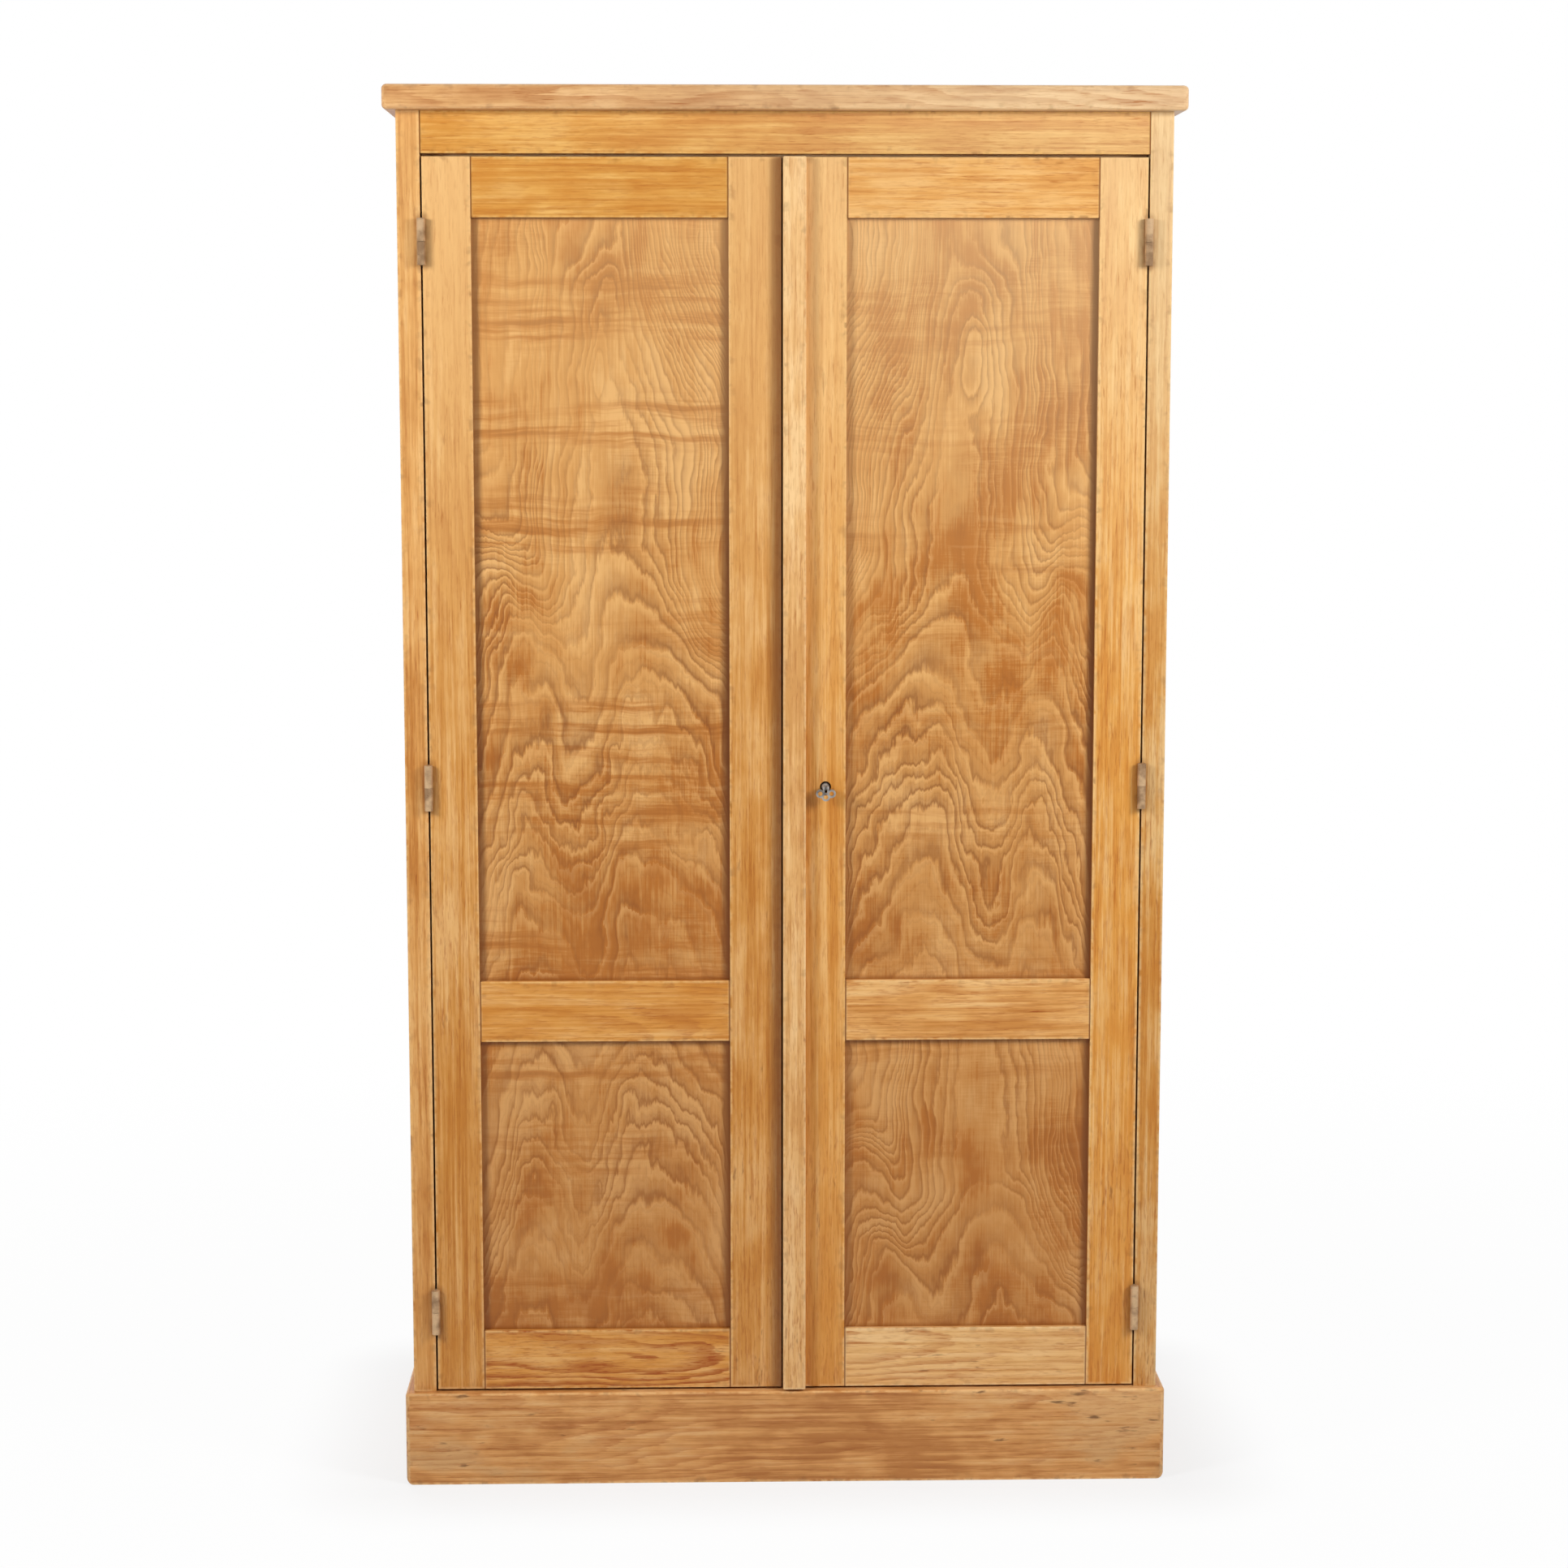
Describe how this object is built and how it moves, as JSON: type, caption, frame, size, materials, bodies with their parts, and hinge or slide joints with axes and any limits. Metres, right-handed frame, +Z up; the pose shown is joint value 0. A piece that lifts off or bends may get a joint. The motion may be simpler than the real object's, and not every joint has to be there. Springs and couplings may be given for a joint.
{
  "type": "wardrobe",
  "caption": "Freestanding wardrobe of frame-and-panel oak with hinged doors, rim lock and key, slide bolts, hat shelf and hanging rail on a moulded plinth.",
  "frame": {"origin": "middle of the whole part's footprint, on the floor", "axes": "+Z up, -Y out of the doors, +X to the right as seen from the front"},
  "size_m": [1.032, 0.52, 1.85],
  "materials": {
    "oak_frame": "waxed oak, satin",
    "oak_top": "waxed oak, satin",
    "oak_plinth": "waxed oak, worn",
    "oak_veneer": "waxed oak veneer",
    "oak_side_veneer": "waxed oak veneer",
    "inner_pine": "bare pine",
    "hinge_steel": "aged steel",
    "lock_steel": "dark aged steel",
    "key_steel": "worn steel"
  },
  "bodies": {
    "carcass": {"back_bottom_rail": "inner_pine", "back_muntin": "inner_pine", "back_top_rail": "inner_pine", "bolt_keepers": "lock_steel", "bottom_bearers": "inner_pine", "bottom_board": "inner_pine", "frieze_rail": "oak_frame", "hanging_rail": "inner_pine", "hat_shelf": "inner_pine", "hat_shelf_bearers": "inner_pine", "hinge_pins": "hinge_steel", "hinge_post_leaves": "hinge_steel", "left_back_panel": "inner_pine", "left_back_post": "oak_frame", "left_front_post": "oak_frame", "left_side_bottom_rail": "oak_frame", "left_side_panel": "oak_side_veneer", "left_side_top_rail": "oak_frame", "plinth_back": "inner_pine", "plinth_corner_blocks": "inner_pine", "plinth_front": "oak_plinth", "plinth_left": "oak_plinth", "plinth_right": "oak_plinth", "right_back_panel": "inner_pine", "right_back_post": "oak_frame", "right_front_post": "oak_frame", "right_side_bottom_rail": "oak_frame", "right_side_panel": "oak_side_veneer", "right_side_top_rail": "oak_frame", "sill_rail": "oak_frame", "top_board": "oak_top", "top_stop_rail": "inner_pine"},
    "left_door": {"left_hinge_stile": "oak_frame", "left_meeting_stile": "oak_frame", "left_top_rail": "oak_frame", "left_middle_rail": "oak_frame", "left_bottom_rail": "oak_frame", "left_upper_panel": "oak_veneer", "left_lower_panel": "oak_veneer", "left_hinge_leaves": "hinge_steel", "lock_strike_plate": "lock_steel", "bolt_guides": "lock_steel"},
    "right_door": {"right_hinge_stile": "oak_frame", "right_meeting_stile": "oak_frame", "right_top_rail": "oak_frame", "right_middle_rail": "oak_frame", "right_bottom_rail": "oak_frame", "right_upper_panel": "oak_veneer", "right_lower_panel": "oak_veneer", "right_hinge_leaves": "hinge_steel", "cover_strip": "oak_frame", "lock_case": "lock_steel", "lock_cap": "lock_steel"},
    "top_bolt": {"top_bolt": "lock_steel"},
    "bottom_bolt": {"bottom_bolt": "lock_steel"},
    "lock_bolt": {"lock_bolt": "lock_steel"},
    "key": {"key": "key_steel"},
    "key_bow": {"key_bow": "key_steel"}
  },
  "joints": [
    {"name": "left_door_hinge", "type": "hinge", "parent": "carcass", "child": "left_door", "pos_m": [-0.46875, -0.2458, 0.9445], "axis": [0, 0, -1], "range_deg": [0, 175]},
    {"name": "right_door_hinge", "type": "hinge", "parent": "carcass", "child": "right_door", "pos_m": [0.46875, -0.2458, 0.9445], "axis": [0, 0, 1], "range_deg": [0, 175]},
    {"name": "top_bolt_slide", "type": "slide", "parent": "left_door", "child": "top_bolt", "axis": [0, 0, 1], "range_m": [0, 0.013]},
    {"name": "bottom_bolt_slide", "type": "slide", "parent": "left_door", "child": "bottom_bolt", "axis": [0, 0, -1], "range_m": [0, 0.013]},
    {"name": "key_turn", "type": "hinge", "parent": "right_door", "child": "key", "pos_m": [0.052, -0.257, 0.944], "axis": [0, -1, 0], "range_deg": [0, 360]},
    {"name": "lock_bolt_slide", "type": "slide", "parent": "right_door", "child": "lock_bolt", "axis": [-1, 0, 0], "range_m": [0, 0.01]},
    {"name": "key_bow_fold", "type": "hinge", "parent": "key", "child": "key_bow", "pos_m": [0.052, -0.257, 0.944], "axis": [-1, 0, 0], "range_deg": [0, 90]}
  ],
  "couplings": [
    {"joint": "key_turn", "follows": "lock_bolt_slide", "rad_per_m": 628}
  ]
}
